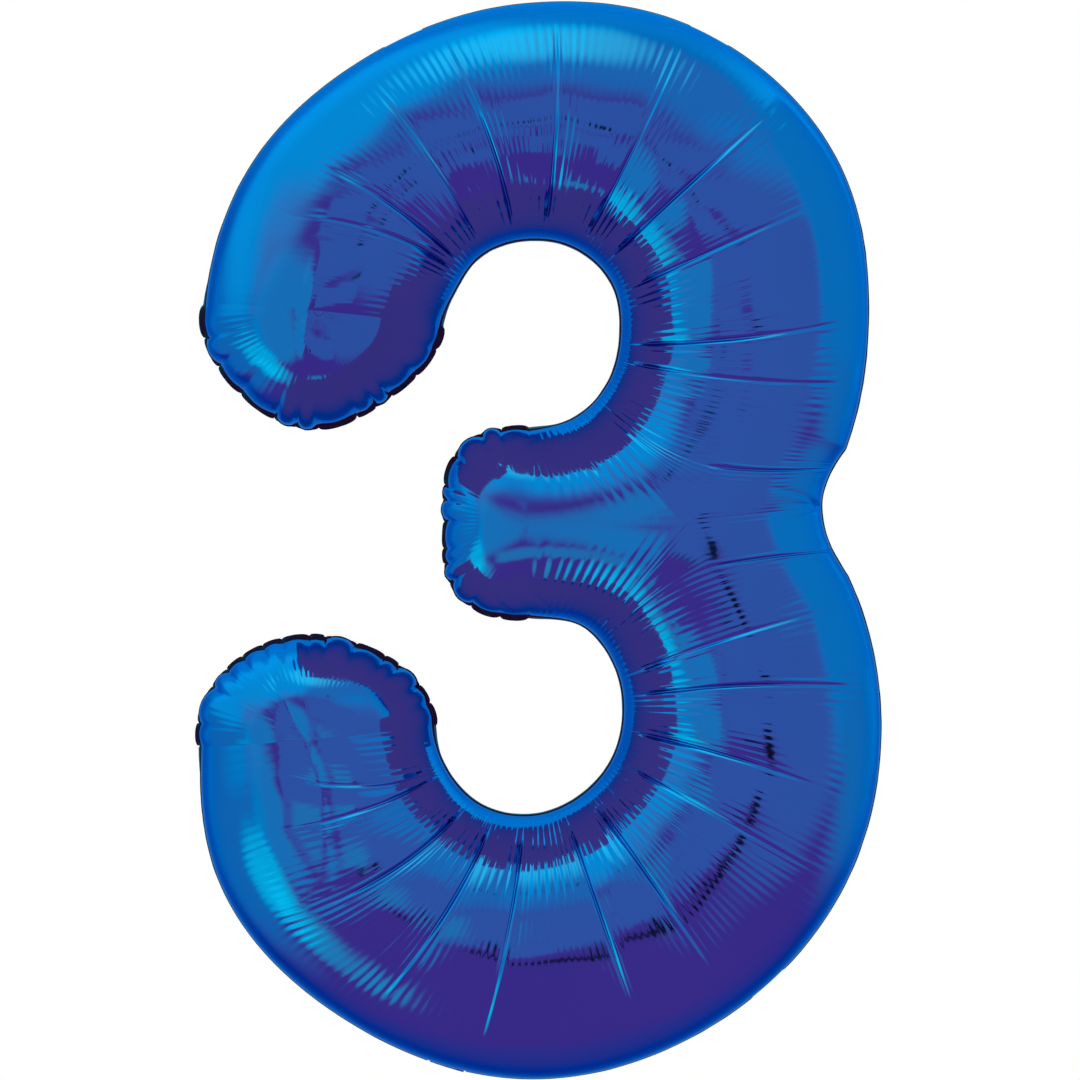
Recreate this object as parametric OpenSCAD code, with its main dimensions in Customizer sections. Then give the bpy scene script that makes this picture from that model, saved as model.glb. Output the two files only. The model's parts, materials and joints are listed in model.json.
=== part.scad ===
// Inflated foil balloon in the shape of the digit 3, standing upright.
// X runs across the digit, Z runs up it and the front of the balloon faces -Y.
// The flat seam between the front and back films lies in the plane Y = 0.
// The origin is the point on the seam plane midway between the roots of the two hang tabs.

/* [Size] */
// Width of the two bays between the arms of the digit
bay_width = 139; // [120:1:150]
// Depth of the tube compared with its width
tube_depth = 0.96; // [0.7:0.01:1]
// Depth of the balloon where the three arms meet, from the seam to the front
junction_depth = 96; // [80:1:105]
// Height of the middle arm
arm_height = 131; // [110:1:140]

/* [Film] */
// Thickness used for the front and back films
film = 1; // [0.8:0.1:2]
// Thickness of the welded rim and of the tabs
weld = 0.8; // [0.6:0.1:1.2]
// Width of the welded rim outside the seam
rim_width = 6; // [4:0.5:9]
// Extra width of the rim at each scallop of the three arm ends
scallop = 1.6; // [0:0.2:3]

/* [Tabs] */
// Width of each tab
tab_width = 22; // [16:1:26]
// Length of each tab from the rim to its rounded end
tab_length = 30; // [24:1:40]
// Diameter of the eyelet hole in each tab
eyelet = 6; // [4:0.5:9]

/* [Inflation neck] */
// Width of the inflation tail
tail_width = 25; // [20:1:28]
// Length of the inflation tail
tail_length = 52; // [35:1:70]
// Thickness of each film of the tail
ply = 0.5; // [0.3:0.1:0.8]
// Height of the flat passage between the two films of the tail
passage = 1.2; // [0.6:0.2:2]
// Length of the check valve inside the balloon
valve_length = 120; // [80:5:140]
// Width of the check valve
valve_width = 22; // [16:1:24]

/* [Smoothness] */
// Steps along each bowl of the digit
bowl_steps = 24; // [24:8:48]
// Steps from the middle of the tube to its seam
tube_steps = 8; // [6:1:14]

/* [Hidden] */
$fn = 48;

royal = [0.05, 0.22, 0.62];
navy = [0.02, 0.03, 0.12];
clear = [0.75, 0.82, 0.92];

// centres of the upper and lower bay
upper_bay = [-9, 531];
lower_bay = [-7, 258];
// narrowest point of the right-hand side, and the point where the three tubes meet
waist = [200.2, 407];
junction = [100, 397];
// middle of the rounded end of the middle arm
arm_end = [-8, 396];

// radius of the outer edge about each bay, every 30 degrees from the digit's end round to the waist
upper_edge = [229.5, 230, 227, 234.5, 248, 252.5, 242, 241, 242];
lower_edge = [232.5, 251, 252.3, 257.5, 254.8, 253.8, 249.3, 246.5, 244];
// radius of each bay, every 30 degrees from the digit's end round to the middle arm
upper_hollow = [63, 60, 64.8, 67, 69.8, 70, 66.5, 67.5, 69.3, 69.5, 80];
lower_hollow = [69.8, 70.5, 72.3, 70.5, 67.3, 66, 66.5, 70.3, 75, 71.5, 84];

// angles where each bowl starts at the digit's end and stops at the junction
upper_start = 175;
upper_stop = -20;
lower_start = -175;
lower_stop = 24;
// angle at which each bay turns onto the middle arm
corner = 53;
join_steps = 5;
arm_steps = 6;
end_steps = 14;
gap = weld / 2;

function along(t) = [cos(t), sin(t)];
function mix(a, b, t) = a + (b - a) * t;
function bend(a, b, c, t) = mix(mix(a, b, t), mix(b, c, t), t);
function held(list, i) = list[max(0, min(len(list) - 1, i))];
function cubic(a, b, c, d, t) =
  b + (c - a) * t / 2 + (2 * a - 5 * b + 4 * c - d) * t * t / 2
  + (3 * b - a - 3 * c + d) * t * t * t / 2;
function smooth(list, f) = let (i = floor(f))
  cubic(held(list, i - 1), held(list, i), held(list, i + 1), held(list, i + 2), f - i);

hollow_scale = bay_width / 139;

// one side of a bowl: angle measured from the digit's end
function upper_out(t) = upper_bay + along(t) * smooth(upper_edge, (180 - t) / 30);
function upper_in(t) = upper_bay + along(t) * smooth(upper_hollow, (180 - t) / 30) * hollow_scale;
function lower_out(t) = lower_bay + along(t) * smooth(lower_edge, (180 + t) / 30);
function lower_in(t) = lower_bay + along(t) * smooth(lower_hollow, (180 + t) / 30) * hollow_scale;

// stations hold [outer edge, inner edge, middle of the tube, depth, how much it is an arm's end]
function bowl(o, i) = [o, i, (o + i) / 2, norm(o - i) / 2 * tube_depth];
upper = [for (k = [0:bowl_steps])
  let (t = mix(upper_start, upper_stop, k / bowl_steps)) bowl(upper_out(t), upper_in(t))];
lower = [for (k = [0:bowl_steps])
  let (t = mix(lower_start, lower_stop, k / bowl_steps)) bowl(lower_out(t), lower_in(t))];
upper_last = upper[bowl_steps];
lower_last = lower[bowl_steps];
upper_join = [for (k = [1:join_steps]) let (t = k / join_steps) [
  bend(upper_last[0], waist + [0, 20], waist, t),
  upper_in(mix(upper_stop, -corner, t)),
  bend(upper_last[2], mix(upper_last[2], junction, 0.5) + [6, 0], junction, t),
  mix(upper_last[3], junction_depth, t * t * (3 - 2 * t))]];
lower_join = [for (k = [1:join_steps]) let (t = k / join_steps) [
  bend(lower_last[0], waist - [0, 22], waist, t),
  lower_in(mix(lower_stop, corner, t)),
  bend(lower_last[2], mix(lower_last[2], junction, 0.5) + [6, 0], junction, t),
  mix(lower_last[3], junction_depth, t * t * (3 - 2 * t))]];
arm_depth = arm_height / 2 * 1.04;
arm_top = arm_end + [0, arm_height / 2];
arm_base = arm_end - [0, arm_height / 2];
// the middle arm, from the junction out to its end: [top edge, bottom edge, middle, depth]
arm = [for (k = [1:arm_steps]) let (t = k / arm_steps, w = t * t * t) [
  mix(upper_in(mix(-corner, -91, t)), arm_top, w),
  mix(lower_in(mix(corner, 91, t)), arm_base, w),
  mix(junction, arm_end, t),
  mix(junction_depth, arm_depth, t * t * (3 - 2 * t))]];

// rounded end of an arm: turns by 180 degrees about m from direction t, squared or leaning a little
function round_end(m, t, turn, side, tip, square, lean, depth) = [for (k = [1:end_steps - 1])
  let (a = 180 * k / end_steps,
    r = side + (tip - side) * pow(sin(a), 2) + square * pow(sin(2 * a), 2) + lean * sin(2 * a))
  [m + along(t + turn * a) * r, m, depth, pow(sin(a), 0.5)]];

upper_side = norm(upper[0][0] - upper[0][2]);
lower_side = norm(lower[0][0] - lower[0][2]);

// the whole seam, clockwise from the front: [edge point, middle of the tube, depth, end share]
seam = concat(
  [for (s = upper) [s[0], s[2], s[3], 0]],
  [for (s = upper_join) [s[0], s[2], s[3], 0]],
  [for (k = [join_steps - 2:-1:0]) let (s = lower_join[k]) [s[0], s[2], s[3], 0]],
  [for (k = [bowl_steps:-1:0]) let (s = lower[k]) [s[0], s[2], s[3], 0]],
  round_end(lower[0][2], lower_start, -1, lower_side, 68.3, -1.8, 2.3, lower[0][3]),
  [for (s = lower) [s[1], s[2], s[3], 0]],
  [for (s = lower_join) [s[1], s[2], s[3], 0]],
  [for (s = arm) [s[1], s[2], s[3], 0]],
  round_end(arm_end, -90, -1, arm_height / 2, 57.5, 7.5, 0, arm_depth),
  [for (k = [arm_steps - 1:-1:0]) let (s = arm[k]) [s[0], s[2], s[3], 0]],
  [for (k = [join_steps - 1:-1:0]) let (s = upper_join[k]) [s[1], s[2], s[3], 0]],
  [for (k = [bowl_steps:-1:0]) let (s = upper[k]) [s[1], s[2], s[3], 0]],
  round_end(upper[0][2], upper_start + 180, -1, upper_side, 78, -5.5, -3, upper[0][3])
);
count = len(seam);
function at(i) = seam[(i + count) % count];

// numbers of the seam stations where the arm ends and the tail are
outer_count = 2 * (bowl_steps + join_steps) + 1;
lower_end_first = outer_count;
arm_end_first = lower_end_first + end_steps - 1 + bowl_steps + 1 + join_steps + arm_steps;
upper_end_first = count - end_steps + 1;
// the chord of the outer edge that each tab and the tail grow from
left_chord = round(bowl_steps * (upper_start - 111) / (upper_start - upper_stop) - 0.5);
right_chord = round(bowl_steps * (upper_start - 60) / (upper_start - upper_stop) - 0.5);
lower_first = bowl_steps + 2 * join_steps;
tail_chord = lower_first + round(bowl_steps * (lower_stop + 102) / (lower_stop - lower_start) - 0.5);
base_chord = lower_first + round(bowl_steps * (lower_stop + 50) / (lower_stop - lower_start) - 0.5);

// a row of the tube's surface at share s from the middle to the seam, taken in by t
function skin(i, j, t) = let (
  q = at(i), s = sin(90 * j / tube_steps), n = q[0] - q[1],
  p = q[1] + n * s * (1 - t / norm(n)),
  y = (q[2] - t) * pow(max(0, 1 - s * s), 0.5 + 0.1 * q[3]))
  [p[0], -gap - y, p[1]];

// how far along its chord each tab and the tail sit from the middle
left_shift = 5;
right_shift = -6;
base_shift = 8;
tail_shift = -5;
function chord_way(k) = let (d = at(k + 1)[0] - at(k)[0]) d / norm(d);
function root(k, shift) = (at(k)[0] + at(k + 1)[0]) / 2 + chord_way(k) * shift;

// moves the digit so that the origin is midway between the two hang tabs
hang_point = (root(left_chord, left_shift) + root(right_chord, right_shift)) / 2;
module placed() {
  translate([-hang_point[0], 0, -hang_point[1]]) children();
}

module panel() {
  rows = tube_steps + 1;
  side = count * rows;
  points = concat(
    [for (i = [0:count - 1]) for (j = [0:tube_steps]) skin(i, j, 0)],
    [for (i = [0:count - 1]) for (j = [0:tube_steps]) skin(i, j, film)]);
  faces = [for (i = [0:count - 1]) let (
      a = i * rows, b = ((i + 1) % count) * rows, fan = norm(at(i)[1] - at(i + 1)[1]) < 0.001)
    each concat(
      [for (j = [0:tube_steps - 1]) [a + j, a + j + 1, b + j + 1]],
      [for (j = [0:tube_steps - 1]) if (j > 0 || !fan) [a + j, b + j + 1, b + j]],
      [for (j = [0:tube_steps - 1]) [side + a + j, side + b + j + 1, side + a + j + 1]],
      [for (j = [0:tube_steps - 1]) if (j > 0 || !fan) [side + a + j, side + b + j, side + b + j + 1]],
      [[b + tube_steps, a + tube_steps, side + a + tube_steps]],
      [[b + tube_steps, side + a + tube_steps, side + b + tube_steps]])];
  polyhedron(points, faces, convexity = 12);
}

module front_panel() {
  color(royal) placed() panel();
}

module back_panel() {
  color(royal) placed() mirror([0, 1, 0]) panel();
}

// how far the rim is turned back behind the balloon, 0 at the arm ends and 90 elsewhere
function away(i, first) = max(0, first - i, i - (first + end_steps - 2));
function turned(i) = let (
  d = min(away(i, lower_end_first), away(i, arm_end_first), away(i, upper_end_first),
    away(i + count, upper_end_first)))
  90 * pow(min(1, d / 3), 0.7);

// outward direction of the seam in the XZ plane
function outward(i) = let (d = at(i + 1)[0] - at(i - 1)[0], u = d / norm(d)) [-u[1], u[0]];

// cross-section of the welded rim: a tongue between the films and the folded flange
function rim_section(i) = let (
  q = at(i), n = outward(i), f = turned(i), w = rim_width + scallop * (1 - f / 90) * (i % 2),
  c = [0, gap], d = c + [cos(f), sin(f)] * w, e = d + [sin(f), -cos(f)] * weld,
  shape = [[-1.5, -gap], [weld * tan(f / 2), -gap], e, d, c, [-1.5, gap]])
  [for (s = shape) [q[0][0] + n[0] * s[0], s[1], q[0][1] + n[1] * s[0]]];

module seal_rim() {
  first = tail_chord + 1;
  last = tail_chord + count;
  total = last - first + 1;
  points = [for (i = [first:last]) each rim_section(i % count)];
  faces = concat(
    [for (i = [0:total - 2]) for (k = [0:5]) [i * 6 + k, i * 6 + 6 + k, i * 6 + 6 + (k + 1) % 6]],
    [for (i = [0:total - 2]) for (k = [0:5]) [i * 6 + k, i * 6 + 6 + (k + 1) % 6, i * 6 + (k + 1) % 6]],
    [[0, 1, 2], [0, 2, 3], [0, 3, 4], [0, 4, 5]],
    [for (t = [[0, 2, 1], [0, 3, 2], [0, 4, 3], [0, 5, 4]]) [for (v = t) (total - 1) * 6 + v]]);
  color(navy) placed() polyhedron(points, faces, convexity = 12);
}

// frame on the outer edge: x along the edge, y back behind the balloon, z outward
module on_edge(k, shift) {
  m = root(k, shift);
  u = chord_way(k);
  placed() multmatrix([[u[0], 0, -u[1], m[0]], [0, 1, 0, 0], [u[1], 0, u[0], m[1]], [0, 0, 0, 1]])
    children();
}

tab_root = gap + rim_width;
module tab() {
  r = tab_width / 2;
  difference() {
    linear_extrude(weld) union() {
      translate([-r, tab_root]) square([tab_width, tab_length - r]);
      translate([0, tab_root + tab_length - r]) circle(r);
    }
    translate([0, tab_root + tab_length - r, -1]) cylinder(h = weld + 2, d = eyelet);
  }
}

module hang_tab_left() {
  color(navy) on_edge(left_chord, left_shift) tab();
}

module hang_tab_right() {
  color(navy) on_edge(right_chord, right_shift) tab();
}

module base_tab() {
  color(navy) on_edge(base_chord, base_shift) tab();
}

// the two films of the tail meet at this height over the seam's outer edge
tail_middle = 0.2 + ply + passage / 2;
tail_root = 1.2;
// one film of the tail in cross-section: flat welded margins and a raised middle
module tail_profile() {
  r = tail_width / 2;
  p = passage / 2;
  polygon([[-r, 0], [3 - r, 0], [5 - r, p], [r - 5, p], [r - 3, 0], [r, 0],
    [r, ply], [r - 3, ply], [r - 5, p + ply], [5 - r, p + ply], [3 - r, ply], [-r, ply]]);
}

module tail_front_ply() {
  color(royal) on_edge(tail_chord, tail_shift) translate([0, tail_root + tail_length, tail_middle])
    rotate([90, 0, 0]) linear_extrude(tail_length) tail_profile();
}

module tail_back_ply() {
  color(royal) on_edge(tail_chord, tail_shift) translate([0, tail_root + tail_length, tail_middle])
    rotate([90, 0, 0]) linear_extrude(tail_length) mirror([0, 1]) tail_profile();
}

// the check valve hangs inside the tube from the neck, between the two films
module valve_film(y) {
  on_edge(tail_chord, tail_shift) translate([-valve_width / 2, y, -valve_length - 0.2])
    cube([valve_width, 0.3, valve_length]);
}

module valve_front_ply() {
  color(clear) valve_film(-0.35);
}

module valve_back_ply() {
  color(clear) valve_film(0.05);
}

front_panel();
back_panel();
seal_rim();
hang_tab_left();
hang_tab_right();
base_tab();
tail_front_ply();
tail_back_ply();
valve_front_ply();
valve_back_ply();
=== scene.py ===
"""Looks of the inflated foil digit 3: two creased metallic films, their seal rim, tabs, tail and valve.

Design coordinates are those of part.scad: millimetres, x across and z up the digit. The front faces -Y.
"""

import json
import math
from functools import partial

import bpy
import numpy as np
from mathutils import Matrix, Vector


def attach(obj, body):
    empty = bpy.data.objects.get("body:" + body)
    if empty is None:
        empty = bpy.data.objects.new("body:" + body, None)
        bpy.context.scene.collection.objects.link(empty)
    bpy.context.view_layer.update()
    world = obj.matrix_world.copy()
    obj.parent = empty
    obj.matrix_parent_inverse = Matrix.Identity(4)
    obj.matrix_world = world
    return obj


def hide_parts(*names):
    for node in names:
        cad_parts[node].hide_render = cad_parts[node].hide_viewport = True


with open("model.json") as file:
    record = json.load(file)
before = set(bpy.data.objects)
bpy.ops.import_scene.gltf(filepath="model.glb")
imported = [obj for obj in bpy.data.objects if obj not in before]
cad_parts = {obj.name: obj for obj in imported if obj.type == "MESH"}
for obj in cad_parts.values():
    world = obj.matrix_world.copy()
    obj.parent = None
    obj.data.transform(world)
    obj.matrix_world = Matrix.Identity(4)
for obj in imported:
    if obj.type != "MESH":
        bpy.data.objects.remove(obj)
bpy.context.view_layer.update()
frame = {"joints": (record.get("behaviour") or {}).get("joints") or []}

# ---------------------------------------------------------------- camera
LENS, SENSOR = 200.0, 36.0
FRAME_HEIGHT = 0.76896                   # metres of the seam's plane that fill the picture
AIM = Vector((-0.0116, 0.0, -0.3578))    # the picture's middle

cam = bpy.data.objects.new("camera", bpy.data.cameras.new("camera"))
cam.data.lens = LENS
cam.data.sensor_width = SENSOR
cam.data.clip_end = 60
cam.location = AIM + Vector((0, -FRAME_HEIGHT * LENS / SENSOR, 0))
cam.rotation_euler = (math.pi / 2, 0, 0)
bpy.context.scene.collection.objects.link(cam)
bpy.context.scene.camera = cam

# ---------------------------------------------------------------- the digit's outline, as in part.scad
HANG = np.array([11.5763, 741.59])     # the frame's origin, midway between the two top tabs' roots
WAIST = np.array([200.2, 407.0])
JUNCTION = np.array([100.0, 397.0])    # where both limbs and the middle arm meet
ARM_END = np.array([-8.0, 396.0])      # middle of the arm's rounded end
TUBE_DEPTH = 0.96                      # depth of the tube as a share of its width
JUNCTION_DEPTH, ARM_HEIGHT = 96.0, 131.0
ARM_DEPTH = ARM_HEIGHT / 2 * 1.04
GAP = 0.4                              # from the seam's plane to each film's edge
START, CORNER, ARM_TURN = 175.0, -53.0, -91.0    # degrees about a bay: end, arm's root, along the arm
# Each limb about its bay: radii of the outer and the inner edge at every 30 degrees from 180 down. Past
# the stop angle the outer edge bends to the waist, drawn towards a point that lies the pull above it.
UPPER = dict(bay=np.array([-9.0, 531.0]), up=1, stop=-20.0, pull=20.0,
             edge=[229.5, 230, 227, 234.5, 248, 252.5, 242, 241, 242],
             hollow=[63, 60, 64.8, 67, 69.8, 70, 66.5, 67.5, 69.3, 69.5, 80])
LOWER = dict(bay=np.array([-7.0, 258.0]), up=-1, stop=-24.0, pull=-22.0,
             edge=[232.5, 251, 252.3, 257.5, 254.8, 253.8, 249.3, 246.5, 244],
             hollow=[69.8, 70.5, 72.3, 70.5, 67.3, 66, 66.5, 70.3, 75, 71.5, 84])


def smooth(table, f):
    """A table's values at fractional places, on a smooth curve through them."""
    table, f = np.asarray(table, float), np.asarray(f, float)
    i = np.floor(f).astype(int)
    t, n = f - i, len(table) - 1
    a, b, c, d = (table[np.clip(i + k, 0, n)] for k in (-1, 0, 1, 2))
    return (b + (c - a) * t / 2 + (2 * a - 5 * b + 4 * c - d) * t**2 / 2
            + (3 * b - a - 3 * c + d) * t**3 / 2)


def mix(a, b, t):
    """From a at t = 0 to b at t = 1."""
    return a + (b - a) * t


def bend(a, b, c, t):
    """A curve from a to c that is drawn towards b."""
    return mix(mix(a, b, t), mix(b, c, t), t)


def ease(t):
    """From 0 to 1 with a soft start and end."""
    t = np.clip(t, 0, 1)
    return t * t * (3 - 2 * t)


def along(degrees):
    """Directions at these angles."""
    a = np.radians(degrees)
    return np.stack([np.cos(a), np.sin(a)], -1)


def edge_point(limb, table, beta):
    """A point about the bay; beta runs from the digit's end, at 175, round to the middle arm, at -53."""
    beta = np.asarray(beta, float)
    return limb["bay"] + along(beta * limb["up"]) * smooth(limb[table], (180 - beta) / 30)[..., None]


def section(limb, beta):
    """Outer edge, inner edge, middle and depth of the tube at each angle."""
    beta = np.asarray(beta, float)
    outer, inner = edge_point(limb, "edge", beta), edge_point(limb, "hollow", beta)
    middle, depth = (outer + inner) / 2, np.linalg.norm(outer - inner, axis=-1) / 2 * TUBE_DEPTH
    o, i = edge_point(limb, "edge", limb["stop"]), edge_point(limb, "hollow", limb["stop"])
    m, h = (o + i) / 2, np.linalg.norm(o - i) / 2 * TUBE_DEPTH
    t = np.clip((limb["stop"] - beta) / (limb["stop"] - CORNER), 0, 1)
    join, t2 = (beta < limb["stop"])[..., None], t[..., None]
    outer = np.where(join, bend(o, WAIST + [0, limb["pull"]], WAIST, t2), outer)
    middle = np.where(join, bend(m, mix(m, JUNCTION, 0.5) + [6, 0], JUNCTION, t2), middle)
    depth = np.where(join[..., 0], mix(h, JUNCTION_DEPTH, ease(t)), depth)
    return outer, inner, middle, depth


def arm_section(t):
    """Top edge, bottom edge, middle and depth of the middle arm, from the junction out to its end."""
    t = np.asarray(t, float)
    w = (t**3)[..., None]
    top = mix(edge_point(UPPER, "hollow", mix(CORNER, ARM_TURN, t)), ARM_END + [0, ARM_HEIGHT / 2], w)
    base = mix(edge_point(LOWER, "hollow", mix(CORNER, ARM_TURN, t)), ARM_END - [0, ARM_HEIGHT / 2], w)
    depth = mix(JUNCTION_DEPTH, ARM_DEPTH, ease(t))
    return top, base, mix(JUNCTION, ARM_END, t[..., None]), depth


def middle_at_start(limb):
    """Middle, half-width and depth of the tube where a limb meets its rounded end."""
    o, _, m, h = section(limb, START)
    return m, np.linalg.norm(o - m), h


# rounded ends: middle, first direction, side radius, tip radius, squareness, lean, depth
UPPER_M, UPPER_SIDE, UPPER_H = middle_at_start(UPPER)
LOWER_M, LOWER_SIDE, LOWER_H = middle_at_start(LOWER)
ENDS = {
    "upper": (UPPER_M, START + 180, UPPER_SIDE, 78.0, -5.5, -3.0, UPPER_H),
    "lower": (LOWER_M, -START, LOWER_SIDE, 68.3, -1.8, 2.3, LOWER_H),
    "arm": (ARM_END, -90.0, ARM_HEIGHT / 2, 57.5, 7.5, 0.0, ARM_DEPTH),
}


def end_edge(end, a):
    """A point on a rounded end; a runs clockwise from 0 to 180 degrees."""
    m, turn, side, tip, square, lean, _ = ENDS[end]
    r = np.radians(a)
    radius = side + (tip - side) * np.sin(r) ** 2 + square * np.sin(2 * r) ** 2 + lean * np.sin(2 * r)
    return m + along(turn - a) * radius[..., None]


# ---------------------------------------------------------------- noise that repeats on every run
def wobble(seed, x, scale, octaves=3):
    """Smooth 1-D noise in -1..1, by value noise on a seeded table."""
    rng = np.random.default_rng(seed)
    total, norm, amp = 0.0, 0.0, 1.0
    for _ in range(octaves):
        table = rng.uniform(-1, 1, 256)
        f = np.asarray(x, float) / scale
        i = np.floor(f).astype(int)
        t = ease(f - i)
        total = total + amp * mix(table[i % 256], table[(i + 1) % 256], t)
        norm += amp
        amp *= 0.5
        scale *= 0.5
    return total / norm


def wobble2(seed, x, z, scale, octaves=2):
    """Smooth 2-D noise in about -1..1."""
    rng = np.random.default_rng(seed)
    total, norm, amp = 0.0, 0.0, 1.0
    for _ in range(octaves):
        table = rng.uniform(-1, 1, (64, 64))
        fx, fz = x / scale, z / scale
        i, k = np.floor(fx).astype(int), np.floor(fz).astype(int)
        tx, tz = ease(fx - i), ease(fz - k)
        i, k = i % 64, k % 64
        i1, k1 = (i + 1) % 64, (k + 1) % 64
        low, high = mix(table[i, k], table[i1, k], tx), mix(table[i, k1], table[i1, k1], tx)
        total = total + amp * mix(low, high, tz)
        norm += amp
        amp *= 0.5
        scale *= 0.5
    return total / norm


def window(x, a, b, soft_a, soft_b):
    """1 between a and b, falling to 0 over the soft widths outside."""
    return ease((x - a) / soft_a + 1) * ease((b - x) / soft_b + 1)


def notch(d, width):
    """A sharp valley profile: 1 at d = 0, 0 from width on."""
    return np.clip(1 - np.abs(d) / width, 0, 1) ** 1.6


# ---------------------------------------------------------------- creases
# Main creases of the front film, in degrees about the bay: (angle near the outer edge, angle at the
# bay, share of the half-width at which the crease starts, depth in mm).
FRONT_CREASES = {
    "upper": [(151, 138, 0.15, 2.4), (140, 133, 0.25, 2.2), (121.5, 117, 0.45, 2.2),
              (105, 97, 0.55, 2.4), (84.5, 79.5, 0.64, 2.4), (61.5, 57.5, 0.68, 2.4),
              (42, 41.5, 0.66, 2.2), (23.5, 22.5, 0.60, 2.2), (1, -7, 0.64, 2.4),
              (-10, -18, 0.7, 2.4), (-31, -44, 1.0, 2.6)],
    "lower": [(164, 150, 0.0, 1.8), (154.5, 147, 0.1, 2.2), (138, 125, 0.35, 2.4),
              (117.5, 109.5, 0.5, 2.4), (98.5, 93.5, 0.6, 2.4), (70.5, 70, 0.6, 2.4),
              (53.5, 52, 0.56, 2.2), (28, 26, 0.6, 2.2), (12.5, 7, 0.4, 2.0),
              (-6, -13, 0.72, 2.6), (-20, -25, 0.85, 2.4), (-34, -47, 1.0, 2.6)],
}
ROWS = 30                     # from the tube's middle to its seam
COLUMNS_PER_DEGREE = 2.75
WIDEST_SWELL = 48    # a wider gore, in mm, stands out no further
END_CALM = {0: 0.12, 1: 0.35, 2: 0.7}    # share of the fine ripples in the gores next to a rounded end


def back_creases(name):
    """The back film's own creases: as many, at seeded places of their own."""
    rng = np.random.default_rng(31 if name == "upper" else 47)
    made = []
    for outer, inner, start, depth in FRONT_CREASES[name]:
        shift = rng.uniform(-5, 5)
        made.append((outer + shift, inner + shift + rng.uniform(-2, 2),
                     np.clip(start + rng.uniform(-0.12, 0.12), 0, 0.9), depth * rng.uniform(0.8, 1.1)))
    return made


def crease_lifts(rng, s, count):
    """How far each crease line lies above or below the round tube, along s; the limb's own ends lie on it."""
    lifts = [np.zeros_like(s)]
    for _ in range(count):
        level = rng.uniform(-1.3, 0.9)
        uneven = 0.7 * wobble(rng.integers(1e6), s + 2, 0.5, 2) * ease((0.8 - s) / 0.5) * ease((s + 1) / 0.4)
        lifts.append(level * ease((0.6 - s) / 0.8) * ease((s + 1) / 0.4) + uneven)
    lifts[-1] = lifts[-1] * ease((s + 0.1) / 0.4)
    lifts.append(np.zeros_like(s))
    return lifts


def swell(rng, S, F, width, gores_left):
    """A gore stands out between its creases, most of all towards the bay."""
    G = F ** (2 ** rng.uniform(-0.4, 0.4))
    amount = rng.uniform(0.045, 0.080)
    share = ease((0.62 - S) / 0.9) * ease((S + 1) / 0.35)
    if gores_left == 1:    # the film runs smoothly from the bay's corner into the middle arm
        share = share * ease((S + 0.25) / 0.5)
    elif gores_left == 0:
        share = share * 0
    return amount * np.minimum(width, WIDEST_SWELL) * share * (1 - (2 * G - 1) ** 2)


def crease_relief(rng, S, d, deep, start, at_waist, bright):
    """One side of a crease, at distances d from its line: a sharp valley, a ridge beside it if the crease
    is bright on this side, and a fan of short parallel lines where it runs out."""
    run = window(S, -0.74, start, 0.2, 0.14) * (1 - 0.45 * ease((S - start + 0.5) / 0.5))
    if at_waist:
        run = window(S, 0.15, 0.97, 0.35, 0.03)
    h = -0.40 * deep * notch(d, mix(1.6, 2.8, ease((S + 1) / 1.2))) * run
    if bright:
        h = h + 0.20 * deep * np.exp(-(((d - 3.0) / 1.3) ** 2)) * run
    for k, off in enumerate((4.2, 8.0, 12.0)):
        a, b = start - rng.uniform(0.28, 0.5), start + rng.uniform(-0.1, 0.12)
        h = h - rng.uniform(0.15, 0.42) * (0.8**k) * notch(d - off, 2.0) * window(S, a, b, 0.1, 0.08)
    return h


def fine_ripples(rng, S, f, width):
    """Ripples across the tube, in groups. f runs across the gore and width is its width in mm."""
    waves = max(2, round(width / rng.uniform(4.9, 5.6)))
    loud = np.clip(0.75 + 0.6 * wobble(rng.integers(1e6), f * width, 14, 2), 0, 1.2)
    top = 0.68 + 0.08 * wobble(rng.integers(1e6), f * width, 16, 2)
    low = -0.38 + 0.25 * wobble(rng.integers(1e6), f * width, 12, 2)
    env = window(S, low[:, None], top[:, None], 0.4, 0.16) * (loud ** 1.5)[:, None]
    phase = 2 * math.pi * waves * f + 1.2 * wobble(rng.integers(1e6), f * width, 18, 2)
    ripple = (np.abs(np.sin(phase / 2)) ** 1.1)[:, None] - 0.6
    return 0.40 * env * ripple * rng.uniform(0.6, 1.2)


def combed_ripples(rng, S, f, width):
    """Short, regular ripples near the bay."""
    combs = max(2, round(width / rng.uniform(4.2, 5.6)))
    level = -0.54 + 0.14 * wobble(rng.integers(1e6), f * width, 5, 2)
    loud = 0.6 + 0.4 * wobble(rng.integers(1e6), f * width, 6)
    env = window(S, -0.90, level[:, None], 0.1, 0.25) * loud[:, None]
    phase = 2 * math.pi * combs * f + 1.5 * wobble(rng.integers(1e6), f * width, 8, 2)
    return 0.30 * env * np.sin(phase)[:, None]


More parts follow.
